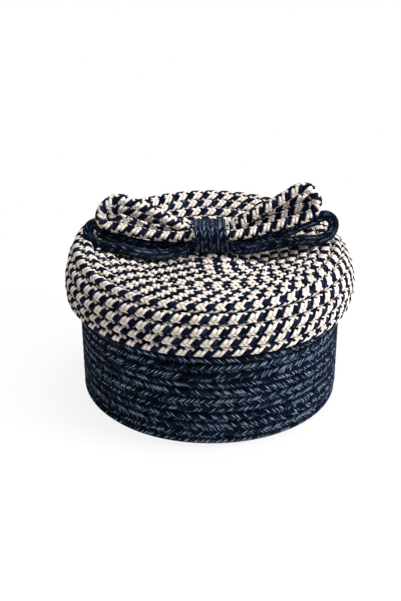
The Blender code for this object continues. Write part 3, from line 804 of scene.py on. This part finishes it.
def finish_cloth(tree, add, shader, colour, body, wave, fuzz, yarn_height, depth):
    """Dry cotton: no gloss, so the navy stays deep, and the relief of its yarns and fuzz."""
    height = add(MATH, (wave, yarn_height, body), "MULTIPLY_ADD")
    height = add(MATH, (fuzz, 0.10, height), "MULTIPLY_ADD")
    tree.links.new(colour, shader.inputs["Base Color"])
    shader.inputs["Roughness"].default_value = 0.85
    shader.inputs["Specular IOR Level"].default_value = 0.02
    bump = add("ShaderNodeBump", {"Height": height, "Distance": depth, "Strength": 1.0})
    tree.links.new(bump, shader.inputs["Normal"])


def two_tone_material(name, looks):
    """Two-tone cotton rope, sixteen-strand braided from soft spun yarn.

    Two cream strands and two navy ones take turns each way round, which gives the eye slanted
    toothed checks; the cream varies from ecru to beige and each strand shows four yarns. Shade
    is painted towards the edges and ends of each stitch and between its yarns, and the navy
    yarns get a painted slate highlight on their crests.
    """
    material, tree, add, shader = start_material(name)
    braid = braid_nodes(add, ROPE_SPAN)
    side_a = add(MATH, (braid["i"], REPEAT_STRANDS), "FLOORED_MODULO")
    side_a = add(MATH, (side_a, 1.5), "LESS_THAN")
    side_b = add(MATH, (braid["j"], 1.0), "ADD")
    side_b = add(MATH, (side_b, REPEAT_STRANDS), "FLOORED_MODULO")
    side_b = add(MATH, (side_b, 1.5), "LESS_THAN")
    pale = add(MIX, {0: braid["first"], 2: side_b, 3: side_a})
    body, wave = stitch_relief(add, braid, 4)
    chance = add(NOISE, {"Vector": braid["key"]}, noise_dimensions="3D")
    fibre = add("ShaderNodeTexCoord", out=3)
    fuzz = cotton_fuzz(add, fibre, ROPE_FUZZ)
    tone = add(MATH, (chance, 0.6, -0.1), "MULTIPLY_ADD")
    tone = add(MATH, (fuzz, 0.8, tone), "MULTIPLY_ADD")
    tone = add(MATH, (tone, -0.25), "ADD", use_clamp=True)
    cream = add(MIX, {0: tone, 6: (*looks.cream, 1.0), 7: (*looks.beige, 1.0)}, **COLOUR)
    # Painted highlight: the navy yarns turn slate on their crests, more on stitches chosen at
    # random
    glint = add(MATH, (chance, wave), "MULTIPLY")
    glint = add(MATH, (glint, 2.2), "POWER")
    navy = add(MIX, {0: glint, 6: (*looks.ink, 1.0), 7: (*looks.slate_highlight, 1.0)}, **COLOUR)
    yarn = add(MIX, {0: pale, 6: navy, 7: cream}, **COLOUR)
    # Painted shade: each stitch darkens to tan or ink towards its edges and ends, and a little
    # between its yarns
    shade = add(MIX, {0: pale, 6: (*looks.ink, 1.0), 7: (*looks.tan, 1.0)}, **COLOUR)
    edge = add(MATH, (body, 0.6), "POWER")
    line = add(MATH, (wave, 0.22, 0.82), "MULTIPLY_ADD")
    dark = add(MATH, (edge, line), "MULTIPLY", use_clamp=True)
    shaded = add(MIX, {0: dark, 6: shade, 7: yarn}, **COLOUR)
    finish_cloth(tree, add, shader, shaded, body, wave, fuzz, 0.12, 0.7 * MM)
    return material


def navy_material(name, looks, rarity=0.0):
    """Heathered navy cotton cord, plaited flat from marled yarn.

    One chevron shows along each row. Most yarns are near black; some are denim blue and a few
    pale, which gives the eye short light dashes along the chevron's arms, and its nap turns
    lighter where the wall curves away. With a higher `rarity` fewer yarns are pale, as on the
    darker cord of the bow. Shade is painted in a deeper navy towards the edges and ends of
    each stitch.
    """
    material, tree, add, shader = start_material(name)
    braid = braid_nodes(add, CORD_SPAN)
    body, wave = stitch_relief(add, braid, 2)
    which = add(MATH, (braid["lie"], 2.0), "MULTIPLY")
    which = add(MATH, (which,), "FLOOR")
    keyed = add("ShaderNodeVectorMath", {0: braid["key"], "Scale": 1.37}, "SCALE")
    yarn_key = add(NOISE, {"Vector": keyed, "W": which}, noise_dimensions="4D")
    chance = add(NOISE, {"Vector": braid["key"]}, noise_dimensions="3D")
    fibre = add("ShaderNodeTexCoord", out=3)
    fuzz = cotton_fuzz(add, fibre, CORD_FUZZ)
    patch = add("ShaderNodeTexNoise", {"Vector": fibre, "Scale": 1.0 / CORD_PATCH,
                                       "Detail": 2.0, "Roughness": 0.5})
    denim = add(MATH, (chance, patch), "MULTIPLY")
    denim = add(MATH, (denim, 1.2), "MULTIPLY", use_clamp=True)
    ground = add(MIX, {0: denim, 6: (*looks.navy, 1.0), 7: (*looks.denim, 1.0)}, **COLOUR)
    luck = add(MATH, (fuzz, 0.5, yarn_key), "MULTIPLY_ADD")
    luck = add(MATH, (patch, 0.3, luck), "MULTIPLY_ADD")
    pale = add("ShaderNodeMapRange", {"Value": luck, "From Min": FLECK_START + rarity,
                                      "From Max": FLECK_FULL + 2.0 * rarity})
    crown = add(MATH, (wave, 5.0), "POWER")
    arch = add(MATH, (braid["arch"], 2.5), "POWER")
    pale = add(MATH, (pale, crown), "MULTIPLY")
    pale = add(MATH, (pale, arch), "MULTIPLY", use_clamp=True)
    yarn = add(MIX, {0: pale, 6: ground, 7: (*looks.fleck, 1.0)}, **COLOUR)
    # Painted shade: each stitch darkens to a deeper navy towards its edges and ends
    edge = add(MATH, (body, 0.5), "POWER")
    shade_navy = (*(0.35 * channel for channel in looks.navy), 1.0)
    shaded = add(MIX, {0: edge, 6: shade_navy, 7: yarn}, **COLOUR)
    finish_cloth(tree, add, shader, shaded, body, wave, fuzz, 0.20, 0.8 * MM)
    shader.inputs["Sheen Weight"].default_value = 0.12
    shader.inputs["Sheen Roughness"].default_value = 0.2
    shader.inputs["Sheen Tint"].default_value = (*looks.fleck, 1.0)
    return material


def shared_material(name, maker, looks):
    """The material of that name, made the first time it is asked for."""
    return bpy.data.materials.get(name) or maker(name, looks)


# Operators


class BASKET_OT_make_basket(Operator):
    """Wind the navy cord into the floor and the wall"""
    bl_idname = "basket.make_basket"
    bl_label = "Basket of navy cord"

    def execute(self, context):
        scene = context.scene
        sizes = scene.basket_sizes
        form = BasketForm(sizes)
        material = shared_material("navy_cotton_cord_plaited", navy_material, scene.yarn_looks)
        braid = Braid(8, CORD_SPAN, scene.yarn_looks.cord_stitch,
                      relief=0.55 * MM, sides=20, step=0.94 * MM)
        heel_turn = (sizes.radius - sizes.heel) / form.pitch
        wall = (form.turns - heel_turn) / 3.0
        breaks = [FLOOR_BREAK * heel_turn, heel_turn, heel_turn + wall, heel_turn + 2.0 * wall]
        names = ["basket_floor_inner", "basket_floor_outer", "basket_wall_lower",
                 "basket_wall_middle", "basket_wall_upper"]
        made = wound_rope(names, form, (0.0, float(form.turns)), sizes.cord_thickness / 2.0,
                          CORD_OVERLAP, braid, cord_roll, BASKET_TAPER, breaks, material)
        for item in made:
            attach(item, "basket")
        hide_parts("basket_body")
        return {"FINISHED"}


class BASKET_OT_make_lid(Operator):
    """Wind the two-tone rope into the lid, from its rim to the middle of the crown"""
    bl_idname = "basket.make_lid"
    bl_label = "Lid of two-tone rope"

    def execute(self, context):
        scene = context.scene
        looks = scene.yarn_looks
        form = LidForm(scene.basket_sizes, scene.lid_sizes)
        material = shared_material("two_tone_cotton_rope_braided", two_tone_material, looks)
        braid = Braid(8, ROPE_SPAN, looks.rope_period / REPEAT_STRANDS,
                      relief=0.65 * MM, sides=24, step=0.88 * MM, squeeze=0.2)
        turns = (0.0, form.turns + RIM_START)
        made = wound_rope(["lid_skirt", "lid_shoulder", "lid_crown"], form, turns, form.half,
                          ROPE_OVERLAP, braid, lid_roll, LID_TAPER, LID_BREAKS, material)
        for item in made:
            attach(item, "lid")
        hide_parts("lid_shell")
        return {"FINISHED"}


class BASKET_OT_make_bow(Operator):
    """Lay the three loops of rope and wind the cord that cinches them"""
    bl_idname = "basket.make_bow"
    bl_label = "Bow"

    def execute(self, context):
        scene = context.scene
        looks = scene.yarn_looks
        bow = scene.bow_sizes
        form = LidForm(scene.basket_sizes, scene.lid_sizes)
        two_tone = shared_material("two_tone_cotton_rope_braided", two_tone_material, looks)
        navy = shared_material("navy_cotton_cord_plaited", navy_material, looks)
        dark = navy_material("navy_cotton_cord_round", looks, rarity=0.17)
        rope = Braid(8, ROPE_SPAN, looks.bow_period / REPEAT_STRANDS,
                     relief=0.6 * MM, sides=24, step=0.8 * MM, squeeze=0.2)
        cord = Braid(16, CORD_SPAN, looks.bow_stitch, relief=0.35 * MM,
                     sides=48, step=0.65 * MM)
        loops = (
            ("bow_lower_loops", bow.lower_reach, LOWER_KNOT, (LOWER_LEFT, LOWER_RIGHT), cord,
             NAVY_LOOP_ROLL, dark, "bow_lower_rope", "navy_braid"),
            ("bow_front_loops", bow.front_reach, FRONT_KNOT, (FRONT_LEFT, FRONT_RIGHT), rope,
             TWO_TONE_LOOP_ROLL, two_tone, "bow_front_rope", "two_tone_rope"),
            ("bow_back_loops", bow.back_reach, BACK_KNOT, (BACK_LEFT, BACK_RIGHT), rope,
             TWO_TONE_LOOP_ROLL, two_tone, "bow_back_rope", "two_tone_rope"),
        )
        for name, reach, knot, tables, braid, twist, material, node, slot in loops:
            item = bow_rope(name, bow, form, reach, knot, tables, braid, twist, material)
            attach(item, "lid")
            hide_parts(node)
        flat = Braid(16, CORD_SPAN, looks.wrap_stitch, relief=0.22 * MM,
                     sides=48, step=0.45 * MM, flat=0.55)
        item = wrap_band("bow_wrap_cord", bow, form, flat, navy)
        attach(item, "lid")
        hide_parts("bow_knot_wrap")
        return {"FINISHED"}


class BASKET_OT_make_stage(Operator):
    """Set the pale floor, the soft lights and the camera"""
    bl_idname = "basket.make_stage"
    bl_label = "Stage"

    def execute(self, context):
        scene = context.scene
        make_floor(scene)
        make_world(scene)
        for lamp in LAMPS:
            make_lamp(scene, *lamp)
        make_camera(scene)
        scene.view_settings.view_transform = "Standard"
        return {"FINISHED"}


def make_floor(scene):
    """A pale matt floor, white to the camera away from the object and round it its shadow."""
    mesh = bpy.data.meshes.new("studio_floor")
    reach = 4.0
    level = -0.2 * MM
    corners = ((-reach, -reach), (reach, -reach), (reach, reach), (-reach, reach))
    mesh.from_pydata([(x, y, level) for x, y in corners], [], [(0, 1, 2, 3)])
    material, tree, add, shader = start_material("studio_paper_matt")
    shader.inputs["Base Color"].default_value = (*linear("#F4F4F4"), 1.0)
    shader.inputs["Roughness"].default_value = 0.9
    white = add("ShaderNodeEmission", (WHITE, 1.0))
    seen = add("ShaderNodeLightPath")
    place = add("ShaderNodeTexCoord", out=3)
    away = add("ShaderNodeVectorMath", (place,), "LENGTH", out=1)
    share = add("ShaderNodeMapRange", {"Value": away, "From Min": 0.15, "From Max": 0.6,
                                       "To Min": 0.86, "To Max": 1.0})
    share = add(MATH, (seen, share), "MULTIPLY")
    both = add("ShaderNodeMixShader", (share, shader.outputs[0], white))
    tree.links.new(both, tree.nodes["Material Output"].inputs["Surface"])
    mesh.materials.append(material)
    floor = bpy.data.objects.new("studio_floor", mesh)
    scene.collection.objects.link(floor)


def make_world(scene):
    """White to the camera, and a dim even light on the object."""
    world = bpy.data.worlds.new("studio")
    scene.world = world
    world.use_nodes = True
    tree = world.node_tree
    tree.nodes.clear()
    add = partial(add_node, tree)
    soft = add("ShaderNodeBackground", (WHITE, 0.17))
    white = add("ShaderNodeBackground", (WHITE, 1.0))
    seen = add("ShaderNodeLightPath")
    both = add("ShaderNodeMixShader", (seen, soft, white))
    output = tree.nodes.new("ShaderNodeOutputWorld")
    tree.links.new(both, output.inputs["Surface"])


def make_lamp(scene, name, place, size, power):
    """A square soft box aimed at the middle of the basket."""
    lamp = bpy.data.lights.new(name, "AREA")
    lamp.shape = "SQUARE"
    lamp.size = size
    lamp.energy = power
    item = bpy.data.objects.new(name, lamp)
    way = np.array([0.0, 0.0, AIM_HEIGHT]) - np.array(place)
    item.location = place
    flat = math.hypot(way[0], way[1])
    item.rotation_euler = (math.atan2(flat, -way[2]), 0.0, math.atan2(-way[0], way[1]))
    scene.collection.objects.link(item)


def make_camera(scene):
    """The photograph's view, from the front and above."""
    camera = bpy.data.cameras.new("camera")
    camera.sensor_width = 36.0
    camera.lens = FOCAL_PX / LONG_SIDE_PX * camera.sensor_width
    camera.shift_x = SHIFT_PX[0] / LONG_SIDE_PX
    camera.shift_y = SHIFT_PX[1] / LONG_SIDE_PX
    camera.clip_start = 0.05
    camera.clip_end = 20.0
    item = bpy.data.objects.new("camera", camera)
    item.location = (0.0, -CAMERA_AWAY * math.cos(CAMERA_RISE),
                     AIM_HEIGHT + CAMERA_AWAY * math.sin(CAMERA_RISE))
    item.rotation_euler = (math.radians(90.0) - CAMERA_RISE, 0.0, 0.0)
    scene.collection.objects.link(item)
    scene.camera = item


class VIEW3D_PT_basket(Panel):
    """Buttons that make each part, and the sizes and colours they use"""
    bl_label = "Rope Basket"
    bl_idname = "VIEW3D_PT_basket"
    bl_space_type = "VIEW_3D"
    bl_region_type = "UI"
    bl_category = "Basket"

    def draw(self, context):
        layout = self.layout
        scene = context.scene
        groups = (
            (scene.basket_sizes, BASKET_OT_make_basket),
            (scene.lid_sizes, BASKET_OT_make_lid),
            (scene.bow_sizes, BASKET_OT_make_bow),
            (scene.yarn_looks, BASKET_OT_make_stage),
        )
        for group, operator in groups:
            box = layout.box()
            for name in group.bl_rna.properties.keys():
                if name not in {"rna_type", "name"}:
                    box.prop(group, name)
            box.operator(operator.bl_idname)


CLASSES = (BasketSizes, LidSizes, BowSizes, YarnLooks, BASKET_OT_make_basket,
           BASKET_OT_make_lid, BASKET_OT_make_bow, BASKET_OT_make_stage, VIEW3D_PT_basket)


GROUPS = {"basket_sizes": BasketSizes, "lid_sizes": LidSizes, "bow_sizes": BowSizes,
          "yarn_looks": YarnLooks}


def register():
    for item in CLASSES:
        bpy.utils.register_class(item)
    for name, group in GROUPS.items():
        setattr(bpy.types.Scene, name, PointerProperty(type=group))


def unregister():
    for name in GROUPS:
        delattr(bpy.types.Scene, name)
    for item in reversed(CLASSES):
        bpy.utils.unregister_class(item)


def main():
    register()
    bpy.ops.basket.make_basket()
    bpy.ops.basket.make_lid()
    bpy.ops.basket.make_bow()
    bpy.ops.basket.make_stage()


if __name__ == "__main__":
    main()
